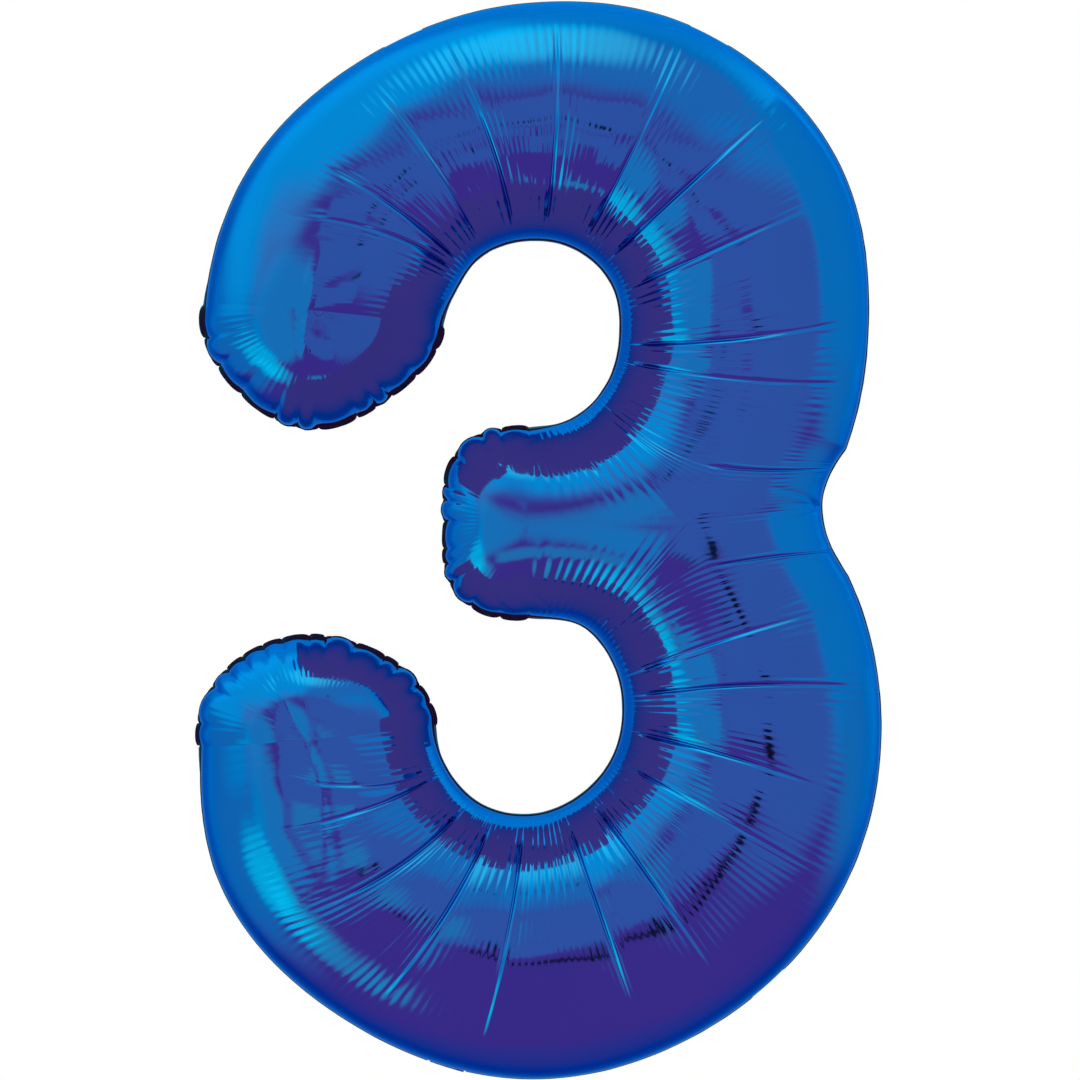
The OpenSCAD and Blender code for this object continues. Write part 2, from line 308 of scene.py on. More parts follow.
def limb_film(name, side):
    """Grid of one limb of a film: base points, heights of its relief, and its cross-wise share s, from
    -1 at the bay to 1 at the outer edge. S and F are s and f (the share across a gore) laid out as a grid."""
    limb = UPPER if name == "upper" else LOWER
    creases = FRONT_CREASES[name] if side < 0 else back_creases(name)
    rng = np.random.default_rng({"upper": 5, "lower": 6}[name] + (0 if side < 0 else 40))
    s = np.sin(np.linspace(-math.pi / 2, math.pi / 2, 2 * ROWS + 1))
    S = s[None, :]
    lines = [np.full_like(s, START)]
    for outer, inner, start, _ in creases:
        lines.append(mix(inner, outer, np.clip((s + 1) / (start + 1), 0, 1.25)))
    lines.append(np.full_like(s, CORNER))
    depths = [0.0] + [c[3] for c in creases] + [0.0]
    starts = [0.0] + [c[2] for c in creases] + [0.0]
    lifts = crease_lifts(rng, s, len(creases))
    bright = rng.choice([-1, 1], len(lines))
    betas, heights, gores = [], [], len(lines) - 1
    for g in range(gores):
        first, last = lines[g], lines[g + 1]
        n = max(8, int(round(abs(np.mean(first - last)) * COLUMNS_PER_DEGREE)))
        f = np.linspace(0, 1, n + 1)
        f = f - 0.35 * np.sin(2 * math.pi * f) / (2 * math.pi)    # closer columns beside the creases
        F = f[:, None]
        beta = mix(first[None, :], last[None, :], F)
        outer, inner, middle, _ = section(limb, beta)
        offset = np.where(S[..., None] >= 0, outer - middle, middle - inner) * S[..., None]
        radius = np.linalg.norm(middle + offset - limb["bay"], axis=-1)
        width = np.abs(np.radians(first - last))[None, :] * radius
        h = swell(rng, S, F, width, gores - 1 - g) + mix(lifts[g][None, :], lifts[g + 1][None, :], F)
        for line, d, way in ((g, F * width, 1), (g + 1, (1 - F) * width, -1)):
            if depths[line] > 0:
                at_waist, is_bright = line == gores - 1, way == bright[line]
                h = h + crease_relief(rng, S, d, depths[line], starts[line], at_waist, is_bright)
        h = h + fine_ripples(rng, S, f, float(np.interp(0.3, s, width[0]))) * END_CALM.get(g, 1)
        h = h + combed_ripples(rng, S, f, float(np.interp(-0.7, s, width[0])))
        keep = slice(None) if g == gores - 1 else slice(0, n)
        betas.append(beta[keep])
        heights.append(h[keep])
    beta, h = np.concatenate(betas), np.concatenate(heights)
    outer, inner, middle, depth = section(limb, beta)
    T = S[..., None]
    straight = middle + np.where(T >= 0, (outer - middle) * T, (inner - middle) * -T)
    curved = middle + T * (outer - inner) / 2 + T * T * ((outer + inner) / 2 - middle)
    p = mix(straight, curved, ease((beta - CORNER) / 22)[..., None])
    y = depth * np.sqrt(np.clip(1 - S * S, 0, 1))
    return np.stack([p[..., 0], side * (GAP + y), p[..., 1]], -1), h, np.broadcast_to(S, h.shape)


ARM_COLUMNS = 70
ARM_FALL = JUNCTION_DEPTH - ARM_DEPTH
ARM_LENGTH = JUNCTION[0] - ARM_END[0]
ARM_STEADY = 0.95    # share of the arm's fall in depth that is one steady slope
END_COLUMNS = 200
END_RIPPLE = 4.1     # degrees from one fine ripple of an end to the next


def arm_film(which, side):
    """Grid of the upper or lower half of the middle arm."""
    rng = np.random.default_rng({"top": 71, "base": 72}[which] + (0 if side < 0 else 40))
    t = np.linspace(0, 1, ARM_COLUMNS + 1)
    s = np.sin(np.linspace(0, math.pi / 2, ROWS + 1))[None, :]
    top, base, middle, _ = arm_section(t)
    edge = top if which == "top" else base
    p = middle[:, None] + (edge - middle)[:, None] * s[..., None]
    # near the end the depth goes by the place along the arm, so that the slope runs on into the end
    reached = mix(t[:, None], (JUNCTION[0] - p[..., 0]) / ARM_LENGTH, ease(t)[:, None])
    depth = JUNCTION_DEPTH - ARM_FALL * mix(ease(reached), reached, ARM_STEADY)
    y = depth * np.sqrt(np.clip(1 - s * s, 0, 1))
    # ripples square to the arm's edge, as where it turns out of the bay
    length = np.concatenate([[0], np.cumsum(np.linalg.norm(np.diff(edge, axis=0), axis=1))])
    phase = 2 * math.pi * length / 4.6 + 1.5 * wobble(rng.integers(1e6), length, 9, 2)
    low = 0.5 + 0.16 * wobble(rng.integers(1e6), length, 8, 2)
    fade = ease(t / 0.06) * ease((1 - t) / 0.1)
    env = window(s, low[:, None], 0.95, 0.35, 0.05) * fade[:, None]
    h = 0.42 * env * np.sin(phase)[:, None] * (0.7 + 0.3 * wobble(rng.integers(1e6), length, 7))[:, None]
    return np.stack([p[..., 0], side * (GAP + y), p[..., 1]], -1), h, np.broadcast_to(s, h.shape)


def pinches(end):
    """Places along a rounded end, in degrees, where the film is pinched at its seam."""
    rng = np.random.default_rng({"upper": 11, "lower": 12, "arm": 13}[end])
    steps = {"upper": 12, "lower": 14, "arm": 12}[end]
    gaps = rng.uniform(0.6, 1.4, steps)
    return np.concatenate([[0], np.cumsum(gaps) / gaps.sum()]) * 180


PINCHES = {end: pinches(end) for end in ENDS}


def scallop(end, a):
    """Share across the scallop at each angle of an end (0 and 1 at the pinches) and its number."""
    at = PINCHES[end]
    k = np.clip(np.searchsorted(at, a, side="right") - 1, 0, len(at) - 2)
    return np.clip((a - at[k]) / (at[k + 1] - at[k]), 0, 1), k


def lobe_size(end, a):
    """How far each lobe of the film stands out past the pinches at its two sides, mm."""
    rng = np.random.default_rng({"upper": 21, "lower": 22, "arm": 23}[end])
    full = rng.random(len(PINCHES[end])) < {"upper": 0.6, "lower": 0.4, "arm": 0.5}[end]
    sizes = np.where(full, rng.uniform(3.4, 4.8, len(full)), rng.uniform(0.8, 2.2, len(full)))
    sizes[[0, -2]] *= 0.3
    q, k = scallop(end, a)
    return sizes[k] * np.sin(math.pi * q).clip(0) ** 0.6


def end_seam(end, a):
    """The film's seam round a rounded end, lobe by lobe."""
    return end_edge(end, a) + along(ENDS[end][1] - a) * lobe_size(end, a)[..., None]


def end_film(end, side):
    """Fan-shaped grid of a rounded end, with puckers that run in from its pinches."""
    rng = np.random.default_rng({"upper": 81, "lower": 82, "arm": 83}[end] + (0 if side < 0 else 40))
    flatness = {"upper": 1.8, "lower": 1.4, "arm": 2.2}[end]
    longest = {"upper": (0.55, 0.86), "lower": (0.66, 0.88), "arm": (0.80, 0.92)}[end]
    pucker = {"upper": 1.5, "lower": 1.3, "arm": 0.9}[end]
    ripple = {"upper": 0.16, "lower": 0.12, "arm": 0.05}[end]
    m, depth = ENDS[end][0], ENDS[end][6]
    a = np.linspace(0, 180, END_COLUMNS + 1)
    s = np.sin(np.linspace(0, math.pi / 2, ROWS + 1))[None, :]
    p = m + (end_edge(end, a) - m)[:, None] * s[..., None]
    p = p + (end_seam(end, a) - end_edge(end, a))[:, None] * ease((s - 0.72) / 0.28)[..., None]
    # the tube's own section runs on across the end and rounds off only near the seam
    across = 1 - (s * np.cos(np.radians(a))[:, None]) ** 2
    outward = (s * np.sin(np.radians(a))[:, None]) ** 2 / np.maximum(across, 1e-9)
    y = depth * np.sqrt(across * (1 - np.clip(outward, 0, 1) ** flatness))
    if end == "arm":    # carry on the arm's slope
        y = y * (1 - ARM_STEADY * ARM_FALL / ARM_LENGTH * (ARM_END[0] - p[..., 0]) / depth)
    q, k = scallop(end, a)
    reach = rng.uniform(*longest, len(PINCHES[end]))
    low = np.where(q < 0.5, reach[k], reach[k + 1])
    fade = ease(a / 14) * ease((180 - a) / 14)
    grown = ease((s - low[:, None]) / (1.05 - low[:, None]))
    env = window(s, 0.90, 0.985, 1.0, 0.015) * grown * fade[:, None]
    h = pucker * env * (np.sin(math.pi * q).clip(0) ** 0.7 - 0.55)[:, None]
    fine = np.sin(2 * math.pi * a / END_RIPPLE + 2 * wobble(rng.integers(1e6), a, 15))
    loud = 0.5 + 0.5 * wobble(rng.integers(1e6), a, 24)
    h = h + ripple * (fine * loud)[:, None] * window(s, 0.66, 0.88, 0.14, 0.08) * fade[:, None]
    return np.stack([p[..., 0], side * (GAP + y), p[..., 1]], -1), h, np.broadcast_to(s, h.shape)


# Folds laid over the front film. Each is a line of design points, its height in mm (negative for a
# valley) at the line's points, and the width of its flank on the left and on the right of the line.
FOLDS = [
    # the upper end's lens-shaped pleat: steep on the left, falling away gently to the right
    ([(-153, 596), (-160, 562), (-165, 527), (-163, 508)], [0, 3.4, 2.2, 0], 3.5, 26),
    # the lower end's long valley
    ([(-197, 306), (-178, 267), (-157.4, 216.4), (-154.5, 189.4), (-146, 128)],
     [0, -3.6, -6.6, -6.0, 0], 34, 30),
    # the middle arm's curved creases
    ([(2, 448), (30, 440), (52, 424)], [0, -1.0, 0], 3, 3),
    ([(-42, 438), (-34, 452), (-14, 459)], [0, -1.0, 0], 2.4, 2.4),
    ([(-34, 424), (-20, 446), (4, 458)], [0, -1.0, 0], 2.4, 2.4),
    ([(-42, 356), (-30, 340), (-16, 331)], [0, -1.0, 0], 2.4, 2.4),
    ([(-22, 364), (-6, 346), (10, 334)], [0, -1.0, 0], 2.4, 2.4),
    # the pinch at the waist
    ([(200, 407), (186, 409), (168, 409)], [-1.8, -1.2, 0], 4, 4),
    ([(200, 407), (182, 416), (160, 421)], [-1.4, -1.0, 0], 3, 3),
    ([(200, 406), (184, 400), (164, 399)], [-1.4, -1.0, 0], 3, 3),
]
FOLD_POINTS = 40      # points along each fold's line
FOLD_REACH = 40.0     # film further than this from a fold isn't touched by it, mm


def fold_relief(x, z):
    """Height of the folds at each design point."""
    h = np.zeros_like(x)
    for line, levels, left, right in FOLDS:
        line = np.array(line, float)
        fine = np.linspace(0, len(line) - 1, FOLD_POINTS)
        lx, lz = smooth(line[:, 0], fine), smooth(line[:, 1], fine)
        level = np.interp(fine, np.arange(len(line)), levels)
        near = (x > lx.min() - FOLD_REACH) & (x < lx.max() + FOLD_REACH)
        near &= (z > lz.min() - FOLD_REACH) & (z < lz.max() + FOLD_REACH)
        gx, gz = x[near][:, None] - lx, z[near][:, None] - lz
        k = np.argmin(gx * gx + gz * gz, axis=1)
        tx, tz = np.gradient(lx)[k], np.gradient(lz)[k]
        row = np.arange(len(k))
        side = gx[row, k] * tz - gz[row, k] * tx
        # the line's own left is on the right when it runs down the picture
        reach = np.where(side * np.sign(tz) > 0, right, left)
        d = np.abs(side) / np.hypot(tx, tz)
        # past the line's two ends it's the distance from the end that counts
        past_end = np.hypot(gx[row, k], gz[row, k]) * ((k == 0) | (k == FOLD_POINTS - 1))
        share = np.clip(1 - np.maximum(d, past_end) / reach, 0, 1)
        h[near] += level[k] * share**1.5
    return h


def grid_faces(rows, columns, offset):
    """Four-sided faces of a grid whose points are numbered from the offset on."""
    a = (np.arange(rows - 1)[:, None] * columns + np.arange(columns - 1)[None, :]).ravel() + offset
    return np.stack([a, a + 1, a + columns + 1, a + columns], -1)


UNEVEN, UNEVEN_SCALE = 0.55, 46    # height and size of the film's broad unevenness, mm


def film(name, side):
    """One film of the balloon as an open sheet; side is -1 for the front and 1 for the back."""
    parts = [limb_film(limb, side) for limb in ("upper", "lower")]
    parts += [arm_film(half, side) for half in ("top", "base")]
    parts += [end_film(end, side) for end in ENDS]
    points, heights, shares, faces, at = [], [], [], [], 0
    for p, h, s in parts:
        faces.append(grid_faces(p.shape[0], p.shape[1], at))
        points.append(p.reshape(-1, 3))
        heights.append(h.ravel())
        shares.append(s.ravel())
        at += h.size
    points, heights, shares = np.concatenate(points), np.concatenate(heights), np.concatenate(shares)
    faces = np.concatenate(faces)
    # weld the strips where they meet
    _, first, back = np.unique(np.round(points, 4), axis=0, return_index=True, return_inverse=True)
    back = back.ravel()
    count = np.bincount(back)
    points = points[first]
    heights = np.bincount(back, heights) / count
    shares = np.abs(shares[first])
    faces = back[faces]
    # turn every face outwards and drop the corners that fell together
    corner = points[faces]
    normal = np.cross(corner[:, 2] - corner[:, 0], corner[:, 3] - corner[:, 1])
    flip = normal[:, 1] * side < 0
    faces[flip] = faces[flip][:, ::-1]
    normal[flip] *= -1
    normals = np.zeros_like(points)
    for k in range(4):
        np.add.at(normals, faces[:, k], normal)
    normals /= np.linalg.norm(normals, axis=1, keepdims=True)
    x, z = points[:, 0], points[:, 2]
    inside = ease((1 - shares) / 0.03)
    calm = 1 - 0.7 * window(x, -90, 80, 30, 60) * window(z, 340, 450, 20, 20)    # the arm is smoother
    heights = heights + UNEVEN * wobble2(7 + side, x + 400, z + 400, UNEVEN_SCALE, 2) * inside * calm
    if side < 0:
        heights = heights + fold_relief(x, z) * inside
    heights = np.where(shares > 0.9999, 0, heights)
    points = points + normals * heights[:, None]
    return solid(name, points, [list(dict.fromkeys(f)) for f in faces.tolist()])


def solid(name, points_mm, faces):
    """A smooth-shaded mesh object from design millimetres, with the origin on the hang line."""
    rows = np.asarray(points_mm, float) - [HANG[0], 0, HANG[1]]
    mesh = bpy.data.meshes.new(name)
    mesh.from_pydata((rows / 1000).tolist(), [], faces)
    mesh.update()
    mesh.polygons.foreach_set("use_smooth", np.ones(len(mesh.polygons), bool))
    obj = bpy.data.objects.new(name, mesh)
    bpy.context.scene.collection.objects.link(obj)
    return obj


# ---------------------------------------------------------------- materials
def principled(name, color, **values):
    """A material and its shader; the values go to the shader's inputs of the same name."""
    mat = bpy.data.materials.new(name)
    mat.use_nodes = True
    shader = mat.node_tree.nodes["Principled BSDF"]
    shader.inputs["Base Color"].default_value = (*color, 1)
    for key, value in values.items():
        shader.inputs[key.replace("_", " ")].default_value = value
    return mat, shader


def add_node(tree, kind, inputs=None, **settings):
    """A new shader node. Settings are its attributes; an input is a value or another node's output."""
    node = tree.nodes.new("ShaderNode" + kind)
    for key, value in settings.items():
        setattr(node, key, value)
    for key, value in (inputs or {}).items():
        if isinstance(value, bpy.types.NodeSocket):
            tree.links.new(value, node.inputs[key])
        else:
            node.inputs[key].default_value = value
    return node


CRINKLE = 0.0004    # height of the fine crinkle in the bump, metres


def add_noise(mat, shader, scale, colors, roughness, bump, bump_scale):
    """Varies a material's colour and roughness a little and adds a fine crinkle."""
    tree = mat.node_tree
    place = add_node(tree, "TexCoord").outputs["Object"]
    noise = add_node(tree, "TexNoise", {"Scale": scale, "Detail": 4, "Vector": place}).outputs["Fac"]
    fine = add_node(tree, "TexNoise", {"Scale": bump_scale, "Detail": 3, "Vector": place}).outputs["Fac"]
    tint = add_node(tree, "Mix", {"A": (*colors[0], 1), "B": (*colors[1], 1), "Factor": noise},
                    data_type="RGBA")
    rough = add_node(tree, "MapRange", {"From Min": 0.3, "From Max": 0.7, "To Min": roughness[0],
                                        "To Max": roughness[1], "Value": noise})
    relief = add_node(tree, "Bump", {"Strength": bump, "Distance": CRINKLE, "Height": fine})
    tree.links.new(tint.outputs["Result"], shader.inputs["Base Color"])
    tree.links.new(rough.outputs["Result"], shader.inputs["Roughness"])
    tree.links.new(relief.outputs["Normal"], shader.inputs["Normal"])


foil, shader = principled("blue_foil", (0.058, 0.235, 0.57), Metallic=1.0,
                          Specular_Tint=(0.25, 0.6, 1.0, 1.0))
add_noise(foil, shader, 9, ((0.052, 0.222, 0.55), (0.064, 0.248, 0.59)), (0.07, 0.12), 0.10, 160)
# Film of the seal rim and the tabs: its near-black colour is painted shade and painted dark reflection
rim_film, shader = principled("rim_film_painted_shade", (0.004, 0.008, 0.03), Metallic=0.6)
add_noise(rim_film, shader, 60, ((0.003, 0.006, 0.024), (0.005, 0.011, 0.04)), (0.24, 0.38), 0.25, 420)
valve_film, shader = principled("clear_valve_film", (0.75, 0.82, 0.9), Metallic=0.0)
add_noise(valve_film, shader, 40, ((0.72, 0.8, 0.88), (0.78, 0.85, 0.92)), (0.12, 0.22), 0.2, 300)

front = film("front_film", -1)
back = film("back_film", 1)
for piece, node in ((front, "front_panel"), (back, "back_panel")):
    piece.data.materials.append(foil)
    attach(piece, "balloon")
    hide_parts(node)

# ---------------------------------------------------------------- the seal rim
WELD, TAIL_FILM, VALVE_FILM = 0.36, 0.3, 0.18    # thicknesses shown for a weld and for loose films, mm
RIM_WIDTH, RIM_LEAST = 4.4, 0.7
RIM_FOLD = 72.0    # degrees that the rim folds back at an end's pinches and next to an end
SEAM_STEP = 1.5    # mm from one column of the rim to the next
# Tabs, tail and valve in mm: where each starts, its length and half its width. Tabs and tail start behind
# the seam, the valve inside it. EYELET is the eyelet's radius.
TAB_ROOT, TAB_LENGTH, TAB_HALF, EYELET = 6.4, 30.0, 11.0, 3.0
TAIL_ROOT, TAIL_LENGTH, TAIL_HALF = 1.2, 52.0, 12.5
VALVE_ROOT, VALVE_LENGTH, VALVE_HALF = 0.2, 120.0, 11.0
TAB_MIDDLE = 0.8     # height of a tab's hinge over the seam's edge
TAIL_MIDDLE = 1.3    # height of the tail's mid-plane, and of its hinge, over the seam's edge


def root(joint, lift):
    """Where a tab or the tail grows: the point on the seam under its hinge, and the seam's direction."""
    axis, at = joint["axis"], joint["pos_m"]
    tx, tz = axis[0], axis[2]
    return (1000 * at[0] + HANG[0] + lift * tz, 1000 * at[2] + HANG[1] - lift * tx), (tx, tz)


JOINTS = {joint["name"]: joint for joint in frame["joints"]}
ROOTS = {
    "left": root(JOINTS["left_tab_fold"], TAB_MIDDLE),
    "right": root(JOINTS["right_tab_fold"], TAB_MIDDLE),
    "base": root(JOINTS["lower_tab_fold"], TAB_MIDDLE),
    "tail": root(JOINTS["tail_fold"], TAIL_MIDDLE),
}


def seam_loop():
    """The whole seam, clockwise from the front. For each point: its place, its distance along the seam, its
    distance from the nearest rounded end, its share of a scallop, its lobe's height, and its end's name."""
    fine = np.linspace(START, CORNER, 700)
    points, end, angle = [], [], []

    def leg(p, name="", a=None):
        points.append(p)
        end.extend([name] * len(p))
        angle.append(np.zeros(len(p)) if a is None else a)

    a = np.linspace(0, 180, 260)
    t = np.linspace(0, 1, 120)
    top, base, _, _ = arm_section(t)
    leg(section(UPPER, fine)[0])
    leg(section(LOWER, fine[::-1])[0][1:])
    leg(end_seam("lower", a)[1:], "lower", a[1:])
    leg(section(LOWER, fine)[1][1:])
    leg(base[1:])
    leg(end_seam("arm", a)[1:], "arm", a[1:])
    leg(top[::-1][1:])
    leg(section(UPPER, fine[::-1])[1][1:])
    leg(end_seam("upper", a)[1:], "upper", a[1:])
    points, angle, end = np.concatenate(points), np.concatenate(angle), np.array(end)
    step = np.linalg.norm(np.diff(points, axis=0, append=points[:1]), axis=1)
    along_seam = np.concatenate([[0], np.cumsum(step)[:-1]])
    total = step.sum()
    u = np.linspace(0, total, int(total / SEAM_STEP), endpoint=False)
    x = np.interp(u, along_seam, points[:, 0], period=total)
    z = np.interp(u, along_seam, points[:, 1], period=total)
    nearest = np.clip(np.searchsorted(along_seam, u), 0, len(points) - 1)
    name = end[nearest]
    q, out = np.zeros(len(u)), np.zeros(len(u))
    away = np.full(len(u), 1e9)
    for key in ENDS:
        on = name == key
        a = np.interp(u[on], along_seam, angle)
        q[on], out[on] = scallop(key, a)[0], lobe_size(key, a)
        for edge in (u[on].min(), u[on].max()):
            d = np.abs(u - edge)
            away = np.minimum(away, np.minimum(d, total - d))
        away[on] = 0
    return np.stack([x, z], -1), u, away, q, out, name


def rim():
    """The seal rim: one closed strip along the seam. It stands out on the ends and folds back elsewhere."""
    p, u, away, q, out, name = seam_loop()
    tangent = np.roll(p, -1, axis=0) - np.roll(p, 1, axis=0)
    tangent /= np.linalg.norm(tangent, axis=1, keepdims=True)
    normal = np.stack([-tangent[:, 1], tangent[:, 0]], -1)
    crest = np.sin(math.pi * q).clip(0) ** 0.55
    on_end = name != ""
    fold = np.where(on_end, RIM_FOLD * (1 - crest) + 9 * wobble(3, u, 13),
                    RIM_FOLD + 14 * ease(away / 24) + 3 * wobble(4, u, 17))
    # where a lobe of the film stands out, less of the rim shows outside it
    crescent = np.maximum(RIM_WIDTH - 0.6 + crest - 1.25 * out, RIM_LEAST)
    width = np.where(on_end, crescent, RIM_WIDTH + 2.0) + 0.25 * wobble(5, u, 9)
    # rows across the strip: heights over the seam, depths behind it and slopes
    rows_n, rows_y, rows_a = [np.full(len(u), -1.2)], [np.zeros(len(u))], [np.zeros(len(u))]
    n, y, last = np.zeros(len(u)), np.zeros(len(u)), 0.0
    rows_n.append(n)
    rows_y.append(y)
    rows_a.append(fold * 0.2)
    for stop in (0.16, 0.34, 0.56, 0.78, 1.0):
        curl = fold * ease(stop / 0.3) + np.where(on_end, 12 * wobble(6, u, 21) * stop, 0)
        n = n + np.cos(np.radians(curl)) * width * (stop - last)
        y = y + np.sin(np.radians(curl)) * width * (stop - last)
        last = stop
        rows_n.append(n)
        rows_y.append(y)
        rows_a.append(curl)
    n, y, a = np.stack(rows_n, 1), np.stack(rows_y, 1), np.radians(np.stack(rows_a, 1))
    # under each tab the flange lies flat on the film and dips at the tab's hinge, so that the tab clears it
    for key in ("left", "right", "base"):
        rx, rz = ROOTS[key][0]
        off = np.hypot(p[:, 0] - rx, p[:, 1] - rz)
        close = ease((TAB_HALF + 5 - off) / 3.5)[:, None] * (np.arange(n.shape[1]) > 0)
        n = mix(n, -0.14 - 0.5 * ease((y - 3.4) / 3.0), close)
        a = mix(a, math.pi / 2, close)
    half = WELD / 2
    front_n, front_y = n + np.sin(a) * half, y - np.cos(a) * half
    back_n, back_y = n - np.sin(a) * half, y + np.cos(a) * half
    ring_n = np.concatenate([front_n, back_n[:, ::-1]], 1)
    ring_y = np.concatenate([front_y, back_y[:, ::-1]], 1)
    ring = np.stack([p[:, None, 0] + normal[:, None, 0] * ring_n, ring_y,
                     p[:, None, 1] + normal[:, None, 1] * ring_n], -1)
    # the rim is open where the tail passes through it
    (rx, rz), (tx, tz) = ROOTS["tail"]
    near = (p[:, 1] < 60) & (np.abs(p[:, 0] - rx) < 40)
    gap = near & (np.abs((p[:, 0] - rx) * tx + (p[:, 1] - rz) * tz) < TAIL_HALF + 0.6)
    first = int(np.flatnonzero(gap & ~np.roll(gap, -1))[0]) + 1
    order = [(first + k) % len(u) for k in range(len(u) - int(gap.sum()))]
    ring = ring[order]
    count, around = ring.shape[:2]
    faces = []
    for k in range(around):
        a0 = np.arange(count - 1) * around
        faces += np.stack([a0 + k, a0 + (k + 1) % around, a0 + around + (k + 1) % around,
                           a0 + around + k], -1).tolist()
    faces.append(list(range(around))[::-1])
    faces.append([(count - 1) * around + k for k in range(around)])
    return solid("seal_rim_film", ring.reshape(-1, 3), faces)


# ---------------------------------------------------------------- tabs, tail and valve
def on_edge(key, x, y, z):
    """Points in an edge's own frame (x along it, y back, z outward) as design points."""
    (rx, rz), (tx, tz) = ROOTS[key]
    return np.stack([rx + tx * x - tz * z, y, rz + tz * x + tx * z], -1)


def thick_sheet(name, place, x, y, z, thickness, wrap=False):
    """A closed sheet from grids of x, y and height z, with its second face a thickness above."""
    rows, columns = x.shape
    low, high = place(x, y, z).reshape(-1, 3), place(x, y, z + thickness).reshape(-1, 3)
    n = rows * columns
    faces = grid_faces(rows, columns, 0)
    if wrap:
        a = np.arange(rows - 1) * columns
        faces = np.concatenate([faces, np.stack([a + columns - 1, a, a + columns, a + 2 * columns - 1], -1)])
    faces = faces.tolist()
    faces += [[v + n for v in f[::-1]] for f in faces]
    top, bottom = np.arange(columns), (rows - 1) * columns + np.arange(columns)
    # close the sheet along its edges: two loops if the grid wraps round, else one
    left, right = np.arange(1, rows - 1) * columns, np.arange(1, rows) * columns + columns - 1
    border = np.concatenate([top, right, bottom[::-1][1:], left[::-1]])[::-1]
    for loop in ([top[::-1], bottom] if wrap else [border]):
        after = np.roll(loop, -1)
        faces += np.stack([loop, after, after + n, loop + n], -1).tolist()
    return solid(name, np.concatenate([low, high]), faces)


def tab(name, key, seed):
    """A welded tab with a rounded end, a pressed ring round its eyelet and a slight crinkle."""
    centre = TAB_ROOT + TAB_LENGTH - TAB_HALF
    drop = TAB_LENGTH - TAB_HALF
    corner = math.degrees(math.atan2(drop, TAB_HALF))
    turns = ((0, 180, 48), (180, 180 + corner, 16), (180 + corner, 360 - corner, 18), (360 - corner, 360, 16))
    a = np.concatenate([np.linspace(first, last, count, endpoint=False) for first, last, count in turns])
    d = along(a)
    straight = np.minimum(TAB_HALF / np.maximum(np.abs(d[:, 0]), 1e-6), drop / np.maximum(-d[:, 1], 1e-6))
    outline = np.where(d[:, 1] >= 0, TAB_HALF, straight)
    share = np.linspace(0, 1, 13)[:, None]
    radius = mix(EYELET, outline[None, :], share**1.3)
    x, y = radius * d[None, :, 0], centre + radius * d[None, :, 1]
    press = 0.10 * np.exp(-((radius - 4.6) / 0.8) ** 2)
    free = ease((y - TAB_ROOT) / 9)
    crinkle = 0.16 * wobble2(seed, x + 60, y + 60, 9, 2) + 0.12 * (x / TAB_HALF) ** 2
    z = 0.16 * free + press + free * crinkle
    return thick_sheet(name, partial(on_edge, key), x, y, z, WELD, wrap=True)


def tail_ply(name, outside):
    """One film of the tail: welded flat along its two sides and a little puffed between them."""
    x, y = np.meshgrid(np.linspace(-TAIL_HALF, TAIL_HALF, 41),
                       np.linspace(TAIL_ROOT, TAIL_ROOT + TAIL_LENGTH, 44))
    body = ease((TAIL_HALF - 2.6 - np.abs(x)) / 2.6)
    full = mix(0.3, 1.0, ease((y - TAIL_ROOT) / 14))
    z = 0.04 + full * body * (0.62 + 0.16 * wobble2(21, x + 50, y + 50, 7, 2))
    z = z + 0.05 * np.sin(y / 0.9) * (1 - body) ** 2
    z = z + 0.08 * body * wobble2(22 if outside else 23, x + 50, y + 50, 5, 2)
    way = 1 if outside else -1

    def place(i, j, k):
        return on_edge("tail", i, j, TAIL_MIDDLE + way * k)

    return thick_sheet(name, place, x, y, z, TAIL_FILM)


def valve_ply(name, front_side):
    """One film of the check valve, which lies flat on the other inside the balloon."""
    x, z = np.meshgrid(np.linspace(-VALVE_HALF, VALVE_HALF, 15),
                       -np.linspace(VALVE_ROOT, VALVE_ROOT + VALVE_LENGTH, 60))
    height = 0.07 + 0.05 * wobble2(24, x + 50, z + 200, 14, 2)
    way = -1 if front_side else 1

    def place(i, j, k):
        return on_edge("tail", i, way * k, j)

    return thick_sheet(name, place, x, z, height, VALVE_FILM)


# the rim and the tabs take the film with the painted near-black shade
parts = [(rim(), "seal_rim", "balloon", "rim_film", rim_film)]
for name, key, node, body, seed in (("left_tab_film", "left", "hang_tab_left", "left_tab", 61),
                                    ("right_tab_film", "right", "hang_tab_right", "right_tab", 62),
                                    ("base_tab_film", "base", "base_tab", "lower_tab", 63)):
    parts.append((tab(name, key, seed), node, body, "rim_film", rim_film))
for make, kind, body, slot_name, mat in ((tail_ply, "tail", "tail", "foil", foil),
                                         (valve_ply, "valve", "balloon", "valve_film", valve_film)):
    for face, in_front in (("front", True), ("back", False)):
        parts.append((make(f"{kind}_{face}_film", in_front), f"{kind}_{face}_ply", body, slot_name, mat))
for piece, node, body, slot_name, mat in parts:
    piece.data.materials.append(mat)
    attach(piece, body)
    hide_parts(node)


# ---------------------------------------------------------------- studio
world = bpy.data.worlds.new("studio")
bpy.context.scene.world = world
world.use_nodes = True
tree = world.node_tree
tree.nodes.clear()
direction = add_node(tree, "TexCoord").outputs["Generated"]


def toward(tilt, turn):
    """Direction at a tilt from the camera's side, turned round from the right towards the top."""
    a, b = math.radians(tilt), math.radians(turn)
    return (math.sin(a) * math.cos(b), -math.cos(a), math.sin(a) * math.sin(b))


